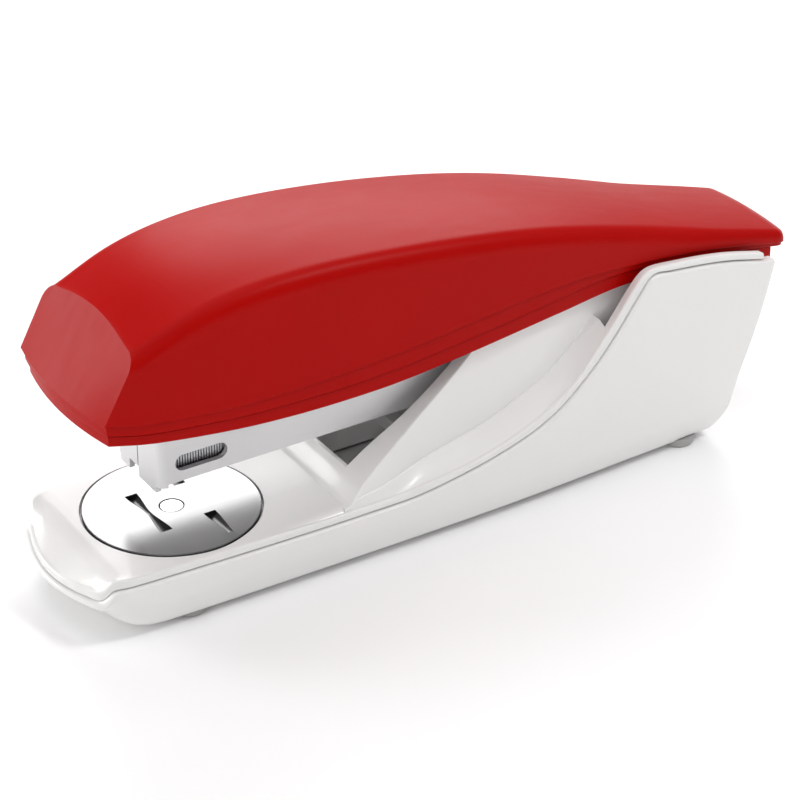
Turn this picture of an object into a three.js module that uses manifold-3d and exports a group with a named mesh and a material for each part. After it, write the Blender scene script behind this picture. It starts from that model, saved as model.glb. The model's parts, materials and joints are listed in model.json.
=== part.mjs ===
// Desk stapler: a red handle over a sprung magazine, a pale base and a turning anvil disc.
// Millimetres, +Z up, rest face at z = 0, nose towards -X.
// Every x below is counted from the anvil's axis; CENTRE then moves the model to mid length.
import * as THREE from 'three';
import { mergeVertices } from 'three/addons/utils/BufferGeometryUtils.js';
import Module from 'manifold-3d';

const wasm = await Module();
wasm.setup();

// ---- driving dimensions ----
const BASE_TIP = -24;
const TAIL_END = 121;
const CENTRE = (BASE_TIP + TAIL_END) / 2;

const PIVOT = { x: 104.5, z: 26.5 };
const PIN_RADIUS = 1.5;
const PIN_HOLE = 1.6;
const EAR_RADIUS = 6;

const STAPLE_HALF_WIDTH = 6.45;
const STAPLE_WIRE = 0.5;
const STAPLE_HEIGHT = 6.5;
const STAPLE_COUNT = 40;
const DRIVE_X = -4.45;

const SEAT_GAP = 0.3;
const MAGAZINE_HALF = 7.75;
const SHEET = 1;
const MAGAZINE_FLOOR = 22.25;
const MAGAZINE_TOP = 32;
const BEND_RADIUS = 1.5;
const FLAP_X = -5.8;
const FLAP_THICK = 0.9;
const STAPLE_FOOT = MAGAZINE_FLOOR + SHEET + SEAT_GAP;
const CROWN_TOP = STAPLE_FOOT + STAPLE_HEIGHT;
const STRIP_START = -3.85;
const STRIP_END = STRIP_START + STAPLE_COUNT * STAPLE_WIRE;
const LEG_GAP = STAPLE_HALF_WIDTH - STAPLE_WIRE;
const RAIL_HALF = 5.6;
const RAIL_SHEET = 0.8;
const RAIL_RIVETS = [12, 58];
const RAIL_RIVET_HOLE = 1.2;
const PUSHER_X = [STRIP_END + 0.3, STRIP_END + 10.3];
const BRACKET_X = 92;
const ROD_Z = 31.9;
const ROD_RADIUS = 1;
const ROD_X = [13, 94];
const FEED_SPRING = { turns: 14, perTurn: 8, radius: 1.85, wire: 0.25 };
const TORSION_SPRING = { turns: 5.4, perTurn: 8, radius: 3.2, half: 4.6, wire: 0.45 };
const BUTTON_SPRING = { turns: 4, perTurn: 10, radius: 3.2, wire: 0.3, heights: [3.7, 9.2] };

const TRAY_TOP = 12.5;
const TRAY_UNDER = 11.1;
const DISC_TOP = 12.65;
const DISC_RADIUS = 15.2;
const DISC_THICK = 0.95;
const GROOVE_DEPTH = 0.5;
const STEM_HOLE = 2.25;
const RECESS_FLOOR = 11.4;
const SHELL_WALL = 1.8;
const UNDERSIDE = 0.8;
const HULL_TOP = 60;
const LINER_INSET = 0.6;
const LINER_FOOT = 6;
const CHEEK_INNER = 9.7;
const PIT_START = 27.7;
const RIM_SPAN = [77.5, 79, 81, 83, 84.5, 86, 88, 91, 97, 103, 109, 111];
const FRONT_STATIONS = [-25, -20, -14, 0, 20, 35];
const SWEEP_STATIONS = [40, 45, 51, 58, 63, 67, 71, 75, 78, 81, 84];
const HOUSING_STATIONS = [87, 91, 97, 103, 109, 119];
const BASE_FRAME = { half: 10.05, floor: [4.2, 5.4], sheet: 0.8 };
const FOOT_PLACES = [[-3.7, 'front'], [97.6, 'rear']];
const FOOT_Y = 11.9;
const SCREW_PLACES = [[16, -6], [16, 6], [74, -6], [74, 6]];
const SCREW_HOLE = 1.7;
const LEAF_RIVET_X = 80;
const LEAF_RIVET_HOLE = 1.3;
const LEAF_STEPS = 14;

const FRAME_ROOF = { front: 44, rear: 41, bend: 14, end: 96 };
const FRAME_SHEET = 0.8;
const FRAME_HALF = 8.9;
const FRAME_START = -2.2;
const BLADE_RIVET = { x: 1, y: 3.5, hole: 1.2 };
const BLADE_TIP = CROWN_TOP + 0.4;
const BLADE_HALF = 6.3;

const NOSE_X = -18.65;
const NOSE_FOOT = 41.5;
const NOSE_LEAN = 0.55;
const NOSE_BOW = 1.6;
const HANDLE_WALL = 1.4;
const HANDLE_ROOF = 1.6;
const NOSE_TOP = 54;
const LEAN_REACH = 34;
const KNEE_GAP = 0.05;
const HANDLE_STATIONS = [NOSE_X, -13, -6, 2, 12, 24, 38, 52, 66, 80, 94, 106, 116, 119.4, 120.4, 121];
const BOSS_PLACES = [8.5, 82];
const BOSS_DEPTH = 4.8;
const BOSS_RADIUS = 3.2;

const SIDES = [[-1, 'left'], [1, 'right']];

// ---- outlines, as smooth curves through a few points ----
function through(points) {
  const end = points.length - 1;
  const slopes = points.map((_, i) => {
    const before = points[Math.max(i - 1, 0)];
    const after = points[Math.min(i + 1, end)];
    return (after[1] - before[1]) / (after[0] - before[0]);
  });
  return (x) => {
    let i = 0;
    while (i < end - 1 && x > points[i + 1][0]) i += 1;
    const span = points[i + 1][0] - points[i][0];
    const t = THREE.MathUtils.clamp((x - points[i][0]) / span, 0, 1);
    const rise = (3 - 2 * t) * t * t;
    const bend = slopes[i] * t * (1 - t) ** 2 - slopes[i + 1] * t * t * (1 - t);
    return points[i][1] * (1 - rise) + points[i + 1][1] * rise + span * bend;
  };
}

const baseHalf = through([[-24, 15.6], [-14, 16.8], [30, 17.5], [60, 17.4], [87, 16.3], [119, 15.2]]);
const shellTop = through([
  [-24, 7.4], [-20, 10.4], [-15, 10.8], [35, 10.3], [45, 11.3], [58, 14.1], [67, 17.8],
  [75, 24.2], [80, 29.8], [84, 35], [87, 38.3], [91, 38.1], [103, 36.4], [114.5, 33.5],
]);
const rimTop = through([
  [-24, 8.8], [-20, 11.9], [-16, 12.5], [2, 12.3], [30, 11.7], [45.6, 13], [55.8, 15.1],
  [65, 18.7], [71.2, 22.8], [78.7, 31.3], [84, 37.9], [86.5, 39.6], [91, 39.5], [103, 37.8], [114.5, 34.9],
]);
const cheekFace = through([
  [25.8, 16.1], [29, 15.7], [32.8, 15], [36.8, 14], [40.2, 13.2], [46, 12.6], [52.2, 12.2],
  [70, 11.6], [88, 10.7],
]);
const creaseHeight = through([
  [25.8, 13.4], [36.4, 14.1], [47.4, 16], [55.3, 17.6], [62.9, 20.6], [68, 23], [73.1, 26.9], [78, 31.4],
]);
const cheekFront = through([
  [25.8, 14.6], [32.8, 19], [40.2, 23.2], [48.4, 29.2], [56, 36], [58, 37], [88, 37],
]);

const handleHalf = through([
  [-19, 15], [0, 15.6], [20, 16], [45, 15.6], [70, 14.4], [95, 12.8], [119, 11.2], [120.3, 10.7], [121, 9.8],
]);
const crown = through([
  [-12.4, 53.7], [-3, 57.5], [6, 59.4], [17.5, 60], [33, 58.8], [52, 56], [68.5, 52.5],
  [85.5, 47.5], [103, 41.7], [119, 36.8], [121, 35.8],
]);
const seam = through([
  [-18.4, 41.4], [-11.9, 39.7], [0.7, 38.4], [8.7, 38], [31, 38.6], [60.6, 40.8], [76, 41],
  [100, 38.3], [121, 33.7],
]);
const lipFoot = through([
  [-18.8, 39.5], [-10.8, 37.5], [0.9, 36.2], [9, 35.6], [31.7, 35.5], [61, 37.7], [80.5, 39.2],
  [100, 37.1], [121, 32.9],
]);
const skirtFoot = through([
  [-18.4, 37.3], [-9.2, 35.2], [9.2, 33.1], [32, 32.6], [48, 33.6], [69.3, 35.4], [84.4, 36.4],
  [101, 34.3], [117, 30.9],
]);

// ---- small tools ----
function stations(from, to, count) {
  return Array.from({ length: count }, (_, i) => from + ((to - from) * i) / (count - 1));
}

const mirrored = (right) => [...right, ...right.map(([x, y, z]) => [x, -y, z]).reverse()];

function welded(geometry) {
  const bare = geometry.clone();
  bare.deleteAttribute('normal');
  bare.deleteAttribute('uv');
  return mergeVertices(bare, 1e-4);
}

function manifoldOf(geometry) {
  const closed = welded(geometry);
  const vertProperties = new Float32Array(closed.attributes.position.array);
  const triVerts = new Uint32Array(closed.index.array);
  return new wasm.Manifold(new wasm.Mesh({ numProp: 3, vertProperties, triVerts }));
}

function geometryOf(solid) {
  const mesh = solid.getMesh();
  const geometry = new THREE.BufferGeometry();
  const positions = new Float32Array(mesh.vertProperties);
  geometry.setAttribute('position', new THREE.BufferAttribute(positions, 3));
  geometry.setIndex(new THREE.BufferAttribute(new Uint32Array(mesh.triVerts), 1));
  geometry.computeVertexNormals();
  return geometry;
}

const combine = (operation) => (first, ...others) => geometryOf(
  others.reduce((solid, other) => solid[operation](manifoldOf(other)), manifoldOf(first)),
);
const join = combine('add');
const cut = combine('subtract');
const common = combine('intersect');

function outline(points) {
  return new THREE.Shape(points.map(([a, b]) => new THREE.Vector2(a, b)));
}

function extrude(shape, depth) {
  return new THREE.ExtrudeGeometry(shape, { depth, bevelEnabled: false, curveSegments: 8 });
}

const sideways = (shape, y0, y1) => extrude(shape, y1 - y0).rotateX(Math.PI / 2).translate(0, y1, 0);
const upwards = (shape, z0, z1) => extrude(shape, z1 - z0).translate(0, 0, z0);

function box([x0, x1], [y0, y1], [z0, z1]) {
  const block = new THREE.BoxGeometry(x1 - x0, y1 - y0, z1 - z0);
  return block.translate((x0 + x1) / 2, (y0 + y1) / 2, (z0 + z1) / 2);
}

function upright(radius, z0, z1, [x, y], sides = 20) {
  const rod = new THREE.CylinderGeometry(radius, radius, z1 - z0, sides);
  return rod.rotateX(Math.PI / 2).translate(x, y, (z0 + z1) / 2);
}

function crosswise(radius, y0, y1, { x, z }, sides = 28) {
  return new THREE.CylinderGeometry(radius, radius, y1 - y0, sides).translate(x, (y0 + y1) / 2, z);
}

function alongX(radius, [x0, x1], z, sides = 20) {
  const rod = new THREE.CylinderGeometry(radius, radius, x1 - x0, sides).rotateZ(Math.PI / 2);
  return rod.translate((x0 + x1) / 2, 0, z);
}

function turned(profile, sides, [x, y]) {
  const points = profile.map(([radius, z]) => new THREE.Vector2(radius, z));
  return new THREE.LatheGeometry(points, sides).rotateX(Math.PI / 2).translate(x, y, 0);
}

// Triangles that close the end of a ring, from its outline seen along x.
function flatLid(ring) {
  const flat = ring.map(([, y, z]) => new THREE.Vector2(y, z));
  return THREE.ShapeUtils.triangulateShape(flat, []);
}

// Triangles that close a ring with mirrored halves in level strips, so the end can fold between them.
function foldedLid(ring) {
  const faces = [];
  for (let a = 0; a < Math.floor(ring.length / 2); a += 1) {
    const [b, c, d] = [a + 1, ring.length - 2 - a, ring.length - 1 - a];
    if (b === c) faces.push([a, b, d]);
    if (b < c) faces.push([a, b, c], [a, c, d]);
  }
  return faces;
}

// Joins rings of [x, y, z] points, anticlockwise as seen from +X and ordered along +X.
function loft(rings, lid = flatLid) {
  const count = rings[0].length;
  const index = [];
  for (let ring = 0; ring < rings.length - 1; ring += 1) {
    for (let i = 0; i < count; i += 1) {
      const a = ring * count + i;
      const b = ring * count + ((i + 1) % count);
      index.push(a, b, b + count, a, b + count, a + count);
    }
  }
  const last = (rings.length - 1) * count;
  for (const [a, b, c] of lid(rings[0])) index.push(a, c, b);
  for (const [a, b, c] of lid(rings.at(-1))) index.push(last + a, last + b, last + c);
  const geometry = new THREE.BufferGeometry();
  geometry.setAttribute('position', new THREE.Float32BufferAttribute(rings.flat(2), 3));
  geometry.setIndex(index);
  return geometry;
}

// A bar along x whose [y, z] section, given for the +y side, changes from station to station.
function bar(xs, section, side) {
  return loft(xs.map((x) => {
    const ring = section(x).map(([y, z]) => [x, side * y, z]);
    return side < 0 ? ring.reverse() : ring;
  }));
}

function wire(points, radius, steps, sides = 6) {
  const circle = new THREE.Shape().absarc(0, 0, radius, 0, 2 * Math.PI);
  const path = new THREE.CatmullRomCurve3(points.map(([x, y, z]) => new THREE.Vector3(x, y, z)));
  const settings = { steps, curveSegments: sides / 2, extrudePath: path, bevelEnabled: false };
  return new THREE.ExtrudeGeometry(circle, settings);
}

// ---- materials ----
function paint(color, roughness, metalness) {
  return new THREE.MeshStandardMaterial({ color, roughness, metalness });
}

const redPlastic = () => paint(0xb01008, 0.42, 0);
const palePlastic = () => paint(0xdcdcd8, 0.5, 0);
const plated = () => paint(0xd2d4d6, 0.28, 0.9);
const polished = () => paint(0xe2e4e6, 0.12, 1);
const springSteel = () => paint(0x9a9ca0, 0.35, 0.9);
const rubber = () => paint(0xb9b9b5, 0.8, 0);
const blackPlastic = () => paint(0x2a2a2c, 0.55, 0);

const stapler = new THREE.Group();
function add(name, geometry, material) {
  const mesh = new THREE.Mesh(geometry, material);
  mesh.name = name;
  mesh.position.x = -CENTRE;
  stapler.add(mesh);
}

// ---- base ----

function frontOutline(inset) {
  const shape = new THREE.Shape();
  const tip = BASE_TIP + inset;
  shape.moveTo(130, -25);
  shape.lineTo(-12, -25);
  shape.lineTo(-16.4, -16.9);
  shape.quadraticCurveTo(tip + 3.4, -16.2 + inset, tip + 2.2, -11.5);
  shape.quadraticCurveTo(tip, -5, tip, 0);
  shape.quadraticCurveTo(tip, 5, tip + 2.2, 11.5);
  shape.quadraticCurveTo(tip + 3.4, 16.2 - inset, -16.4, 16.9);
  shape.lineTo(-12, 25);
  shape.lineTo(130, 25);
  return shape;
}

function keel(inset) {
  const foot = UNDERSIDE + inset;
  const shape = new THREE.Shape();
  shape.moveTo(-10, foot);
  shape.quadraticCurveTo(-18, foot, BASE_TIP + inset, 6.4 + inset / 2);
  shape.lineTo(BASE_TIP + inset, HULL_TOP);
  shape.lineTo(118 - inset, HULL_TOP);
  shape.lineTo(118 - inset, 42);
  shape.quadraticCurveTo(113.5 - inset, 23, 108.4 - inset, 12.1);
  shape.quadraticCurveTo(106.2 - inset, 0.4 + foot, 100.5 - inset, foot);
  return shape;
}

// The hollow or solid boat shape shared by the shell, its cavity and the liner's edge.
function hull(inset, top) {
  const foot = UNDERSIDE + inset;
  const xs = [...FRONT_STATIONS, ...SWEEP_STATIONS, ...HOUSING_STATIONS];
  const whole = loft(xs.map((x) => {
    const half = baseHalf(x) - inset;
    const bilge = [[half - 3.4, foot], [half - 1.5, foot + 0.7], [half - 0.3, foot + 2.6], [half, foot + 6]];
    return mirrored([...bilge, [half, top(x)]].map(([y, z]) => [x, y, z]));
  }));
  return common(whole, upwards(frontOutline(inset), -5, 65), sideways(keel(inset), -25, 25));
}

function baseShell() {
  let shell = cut(hull(0, shellTop), hull(SHELL_WALL, () => 55));
  shell = cut(shell, box([100, 125], [-13, 13], [11, 60]));
  shell = cut(shell, upright(5.6, -1, 4, [0, 0]));
  for (const [x] of FOOT_PLACES) {
    for (const [side] of SIDES) shell = cut(shell, upright(4.1, -1, 1.9, [x, side * FOOT_Y], 20));
  }
  for (const place of SCREW_PLACES) {
    shell = cut(shell, upright(SCREW_HOLE, -1, 6, place), upright(3.3, -1, 1.6, place));
  }
  return shell;
}

function linerTray() {
  const slab = loft([-25, -14, 0, 15, PIT_START].map((x) => {
    const half = baseHalf(x) - LINER_INSET;
    return mirrored([[x, half, TRAY_UNDER], [x, half, 11.6], [x, half - 0.4, TRAY_TOP]]);
  }));
  const nose = new THREE.Shape();
  nose.moveTo(-14, TRAY_TOP - 0.01);
  nose.quadraticCurveTo(-20.5, TRAY_TOP, BASE_TIP + 0.5, 9.2);
  nose.lineTo(BASE_TIP + 0.5, 8.5);
  nose.quadraticCurveTo(-20.6, 11.6, -14, 11.2);
  const plan = boat(LINER_INSET, 5, 20);
  const dipped = common(sideways(nose, -25, 25), plan);
  const level = common(cut(slab, box([-30, -14], [-25, 25], [0, 20])), plan);
  const boss = upright(14.4, 9.6, 11.5, [0, 0], 32);
  const recess = upright(DISC_RADIUS + SEAT_GAP, RECESS_FLOOR, 20, [0, 0], 56);
  return cut(join(level, dipped, boss), recess, upright(2.5, 0, 20, [0, 0], 24));
}

function boat(inset, z0, z1) {
  const block = loft(FRONT_STATIONS.map((x) => {
    const half = baseHalf(x) - inset;
    return [[x, -half, z0], [x, half, z0], [x, half, z1], [x, -half, z1]];
  }));
  return common(block, upwards(frontOutline(inset), z0 - 1, z1 + 1));
}

function linerLedge(side) {
  const section = (x) => {
    const half = baseHalf(x);
    const edge = shellTop(x) + 0.4;
    const rim = Math.max(rimTop(x), edge + 0.6);
    const crease = creaseHeight(x);
    return [
      [CHEEK_INNER, LINER_FOOT], [half - 2.8, LINER_FOOT], [half - 2.1, LINER_FOOT + 3],
      [half - 2.1, edge], [half - LINER_INSET, edge], [half - LINER_INSET, rim - 0.3], [half - 1, rim],
      [cheekFace(x), crease], [CHEEK_INNER, crease],
    ];
  };
  return bar([26, 31, 36, 41, 47, 53, 58, 63, 67, 71, 75, 78], section, side);
}

function linerCheek(side) {
  const section = (x) => {
    const root = x > 77 ? LINER_FOOT : creaseHeight(x) - 1.2;
    const top = Math.max(cheekFront(x), root + 1.4);
    return [[CHEEK_INNER, root], [cheekFace(x), root], [cheekFace(x), top], [CHEEK_INNER, top]];
  };
  return bar([26, 29, 32.8, 36.8, 40.2, 44, 48.4, 53, 58, 68, 76, 77.5, 88], section, side);
}

function linerRim(side) {
  const section = (x) => {
    const half = baseHalf(x);
    const edge = shellTop(x) + 0.4;
    const rim = Math.max(rimTop(x), edge + 0.6);
    return [
      [half - 2.9, edge - 8], [half - 2.1, edge - 8], [half - 2.1, edge], [half - LINER_INSET, edge],
      [half - LINER_INSET, rim - 0.3], [half - 1, rim], [half - 2.4, rim - 0.1],
    ];
  };
  return bar(RIM_SPAN, section, side);
}

function baseLiner() {
  const ramp = [[25, 11.2], [26, 13.6], [PIT_START, 16], [29, 16], [29, 8], [PIT_START, 8]];
  const crossbar = sideways(outline(ramp), -10.2, 10.2);
  const post = box([47, 50], [-9.9, 9.9], [8.5, 11]);
  const bridge = box([84, 87], [-10, 10], [LINER_FOOT, 8]);
  const walls = SIDES.flatMap(([side]) => [linerLedge(side), linerCheek(side), linerRim(side)]);
  return join(linerTray(), crossbar, bridge, post, ...walls);
}

function baseFrame() {
  const { half, sheet } = BASE_FRAME;
  const [low, high] = BASE_FRAME.floor;
  const plan = outline([[-13, -8], [-8, -half], [99, -half], [99, half], [-8, half], [-13, 8]]);
  const ear = new THREE.Shape();
  ear.moveTo(93, low);
  ear.lineTo(99, low);
  ear.lineTo(103, 11);
  ear.lineTo(107.5, 20);
  ear.absarc(PIVOT.x, PIVOT.z, EAR_RADIUS, -0.5, Math.PI - 0.2);
  ear.lineTo(97, 20);
  const ears = [sideways(ear, -half, sheet - half), sideways(ear, half - sheet, half)];
  const holes = SCREW_PLACES.map((place) => upright(SCREW_HOLE, 0, 8, place));
  holes.push(upright(LEAF_RIVET_HOLE, 0, 8, [LEAF_RIVET_X, 0]), upright(5.8, 0, 8, [0, 0]));
  return cut(join(upwards(plan, low, high), ...ears), crosswise(PIN_HOLE, -20, 20, PIVOT), ...holes);
}

function hingePin() {
  const shank = crosswise(PIN_RADIUS, -10.9, 10.9, PIVOT);
  const head = crosswise(2.8, -11.5, -10.25, PIVOT);
  return join(shank, head);
}

function pinClip() {
  return cut(crosswise(3, 10.2, 10.8, PIVOT), crosswise(1.58, 10, 11, PIVOT));
}

function ribbon(points, thickness) {
  const curve = new THREE.SplineCurve(points.map(([x, z]) => new THREE.Vector2(x, z)));
  const offset = (distance) => curve.getPoints(LEAF_STEPS).map((point, i) => {
    const tangent = curve.getTangent(i / LEAF_STEPS);
    return new THREE.Vector2(point.x - distance * tangent.y, point.y + distance * tangent.x);
  });
  return new THREE.Shape([...offset(-thickness / 2), ...offset(thickness / 2).reverse()]);
}

function returnLeaf() {
  const path = [[83, 5.8], [78, 5.8], [74, 6.6], [64, 13.5], [54, 20.2], [50, 21.4], [46, 20.6]];
  return cut(sideways(ribbon(path, 0.6), -4, 4), upright(LEAF_RIVET_HOLE, 4, 8, [LEAF_RIVET_X, 0]));
}

function leafRivet() {
  const profile = [[0, 3.2], [2, 3.2], [2, 3.9], [1.1, 3.9], [1.1, 6.4], [2, 6.4], [1.4, 7.1], [0, 7.1]];
  return turned(profile, 10, [LEAF_RIVET_X, 0]);
}

function foot(x, side) {
  const profile = [[0, 0], [3, 0], [3.6, 0.4], [3.8, 1.7], [0, 1.7]];
  return turned(profile, 16, [x, side * FOOT_Y]);
}

function baseScrew([x, y]) {
  const head = [[0, 1.2], [0.9, 1.2], [1.1, 0.9], [2.6, 0.9], [3, 1.25], [1.3, 1.55]];
  return turned([...head, [1.3, 7.5], [0, 8.4]], 12, [x, y]);
}

// ---- anvil ----
function anvilSpring() {
  const { turns, perTurn, radius, heights } = BUTTON_SPRING;
  const count = turns * perTurn;
  const points = stations(...heights, count + 1).map((z, i) => {
    const angle = (2 * Math.PI * i) / perTurn;
    return [radius * Math.cos(angle), radius * Math.sin(angle), z];
  });
  return wire(points, BUTTON_SPRING.wire, count, 4);
}

function clinchGrooves() {
  const depth = [DISC_TOP - GROOVE_DEPTH, DISC_TOP + 1];
  const fixed = outline([[-5.5, -6.5], [-3.25, -6.5], [-4, 0], [-3.25, 6.5], [-5.5, 6.5], [-4.8, 0]]);
  const open = SIDES.map(([side]) => {
    const shape = new THREE.Shape();
    shape.moveTo(3.3, side * 5.1);
    shape.lineTo(5.5, side * 5.1);
    shape.quadraticCurveTo(5.2, side * 8, 5.15, side * 12.3);
    shape.lineTo(3.95, side * 12.3);
    shape.quadraticCurveTo(3.6, side * 8, 3.3, side * 5.1);
    return upwards(shape, ...depth);
  });
  return [upwards(fixed, ...depth), ...open];
}

function anvilDisc() {
  const disc = upright(DISC_RADIUS, DISC_TOP - DISC_THICK, DISC_TOP, [0, 0], 56);
  return cut(disc, upright(STEM_HOLE, 5, 20, [0, 0], 24), ...clinchGrooves());
}

function anvilButton() {
  const profile = [[0, 1], [4.4, 1], [5, 1.5], [5, 2.9], [2, 3.2], [2, 12.6], [0, 12.6]];
  return turned(profile, 24, [0, 0]);
}

// ---- magazine ----

function magazineSide(side) {
  const wall = new THREE.Shape();
  wall.moveTo(-5.2, MAGAZINE_FLOOR);
  wall.lineTo(98, MAGAZINE_FLOOR);
  wall.lineTo(100.5, 21.4);
  wall.absarc(PIVOT.x, PIVOT.z, EAR_RADIUS, -2.2, 1.7);
  wall.lineTo(96, MAGAZINE_TOP);
  wall.lineTo(-5.2, MAGAZINE_TOP);
  const window = new THREE.Path();
  window.absarc(-1.4, 25.65, 1.5, Math.PI / 2, 1.5 * Math.PI);
  window.absarc(5.35, 25.65, 1.5, -Math.PI / 2, Math.PI / 2);
  wall.holes.push(window);
  const inner = MAGAZINE_HALF - SHEET;
  return side < 0 ? sideways(wall, -MAGAZINE_HALF, -inner) : sideways(wall, inner, MAGAZINE_HALF);
}

// The two front flaps meet at the middle; the notch between their feet clears the leaving staple.
function frontFlap(side) {
  const inner = side < 0 ? 0.2 : 3.1;
  const shape = new THREE.Shape();
  shape.moveTo(0.15 * side, MAGAZINE_TOP);
  shape.lineTo(0.15 * side, 22.3);
  shape.lineTo(inner * side, 22.3);
  shape.lineTo(inner * side, 20.4);
  shape.lineTo(5.6 * side, 20.4);
  shape.quadraticCurveTo(7.4 * side, 20.5, 6.9 * side, MAGAZINE_FLOOR);
  shape.lineTo(6.9 * side, MAGAZINE_TOP);
  const plate = extrude(shape, FLAP_THICK).rotateX(Math.PI / 2).rotateZ(Math.PI / 2);
  const bend = box([-9, 0], side < 0 ? [-9, -6.25] : [6.25, 9], [0, HULL_TOP]);
  return cut(plate.translate(FLAP_X, 0, 0), bend);
}

// Rounds the two bends between the flaps and the side walls.
function frontCorner(side) {
  const shape = new THREE.Shape();
  const [x, y] = [FLAP_X + BEND_RADIUS, side * (MAGAZINE_HALF - BEND_RADIUS)];
  const start = side < 0 ? Math.PI : Math.PI / 2;
  shape.absarc(x, y, BEND_RADIUS, start, start + Math.PI / 2);
  shape.absarc(x, y, BEND_RADIUS - FLAP_THICK, start + Math.PI / 2, start, true);
  return upwards(shape, MAGAZINE_FLOOR - 0.6, MAGAZINE_TOP);
}

function magazineChannel() {
  const half = MAGAZINE_HALF - 0.2;
  const floor = box([-3.6, 96], [-half, half], [MAGAZINE_FLOOR, MAGAZINE_FLOOR + SHEET]);
  const front = box([FLAP_X - 0.1, FLAP_X + BEND_RADIUS], [-9, 9], [0, HULL_TOP]);
  const walls = SIDES.map(([side]) => cut(magazineSide(side), front));
  const bends = SIDES.flatMap(([side]) => [frontCorner(side), frontFlap(side)]);
  return cut(join(floor, ...walls, ...bends), crosswise(PIN_HOLE, -20, 20, PIVOT), ...railRivetHoles());
}

const railRivetHoles = () => RAIL_RIVETS.map((x) => upright(RAIL_RIVET_HOLE, 20, 26, [x, 0], 16));

function stapleRail() {
  const height = [MAGAZINE_FLOOR + SHEET + 0.05, CROWN_TOP - STAPLE_WIRE - 0.3];
  const rail = box([-3.55, 62], [-RAIL_HALF, RAIL_HALF], height);
  const inner = RAIL_HALF - RAIL_SHEET;
  const hollow = box([-2.7, 70], [-inner, inner], [height[0] + RAIL_SHEET, height[1] - RAIL_SHEET]);
  return cut(rail, hollow, ...railRivetHoles());
}

function railRivet(x) {
  const low = MAGAZINE_FLOOR - 0.8;
  const head = [[0, low], [1.4, low], [2, low + 0.7], [1.05, low + 0.7]];
  const tail = [[1.05, 24.3], [1.8, 24.3], [1.3, 24.9], [0, 24.9]];
  return turned([...head, ...tail], 10, [x, 0]);
}

function stapleStrip() {
  const width = [-STAPLE_HALF_WIDTH, STAPLE_HALF_WIDTH];
  const strip = box([STRIP_START, STRIP_END], width, [STAPLE_FOOT, CROWN_TOP]);
  return cut(strip, box([-10, 60], [-LEG_GAP, LEG_GAP], [0, CROWN_TOP - STAPLE_WIRE]));
}

function pusher() {
  const width = [-STAPLE_HALF_WIDTH, STAPLE_HALF_WIDTH];
  const saddle = box(PUSHER_X, width, [STAPLE_FOOT, CROWN_TOP + 0.9]);
  const block = box(PUSHER_X, [-2.6, 2.6], [CROWN_TOP, ROD_Z + 2]);
  const railRoom = box([0, 60], [-LEG_GAP, LEG_GAP], [0, CROWN_TOP - STAPLE_WIRE]);
  return cut(join(saddle, block), railRoom, alongX(ROD_RADIUS + 0.2, [0, 40], ROD_Z));
}

function guideRod() {
  const collar = [ROD_X[0], ROD_X[0] + 0.8];
  return join(alongX(ROD_RADIUS, ROD_X, ROD_Z), alongX(1.6, collar, ROD_Z));
}

function springBracket() {
  const inner = MAGAZINE_HALF - SHEET - 0.1;
  const foot = MAGAZINE_FLOOR + SHEET + 0.1;
  const plate = box([BRACKET_X, BRACKET_X + 1], [-inner, inner], [foot, ROD_Z + 2.2]);
  const tab = box([BRACKET_X - 6, BRACKET_X + 0.5], [-inner, inner], [foot, MAGAZINE_FLOOR + 2 * SHEET]);
  return cut(join(plate, tab), alongX(ROD_RADIUS + 0.1, [80, 100], ROD_Z));
}

function pusherSpring() {
  const { turns, perTurn, radius } = FEED_SPRING;
  const count = turns * perTurn;
  const points = stations(PUSHER_X[1] + 0.5, BRACKET_X - 0.5, count + 1).map((x, i) => {
    const angle = (2 * Math.PI * i) / perTurn;
    return [x, radius * Math.cos(angle), ROD_Z + radius * Math.sin(angle)];
  });
  return wire(points, FEED_SPRING.wire, count, 4);
}

function handleSpring() {
  const { turns, perTurn, radius, half } = TORSION_SPRING;
  const count = turns * perTurn;
  const points = [[94.4, -5, 24.3], [97, -5, 23.9], [100, -5, 23.5]];
  for (let i = 0; i <= count; i += 1) {
    const angle = -Math.PI / 2 - (2 * Math.PI * i) / perTurn;
    const y = (2 * half * i) / count - half;
    points.push([PIVOT.x - radius * Math.cos(angle), y, PIVOT.z + radius * Math.sin(angle)]);
  }
  points.push([98, 5, 33], [92, 5, 35.8], [84, 5, 37.8]);
  return wire(points, TORSION_SPRING.wire, points.length - 1, 4);
}

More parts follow.
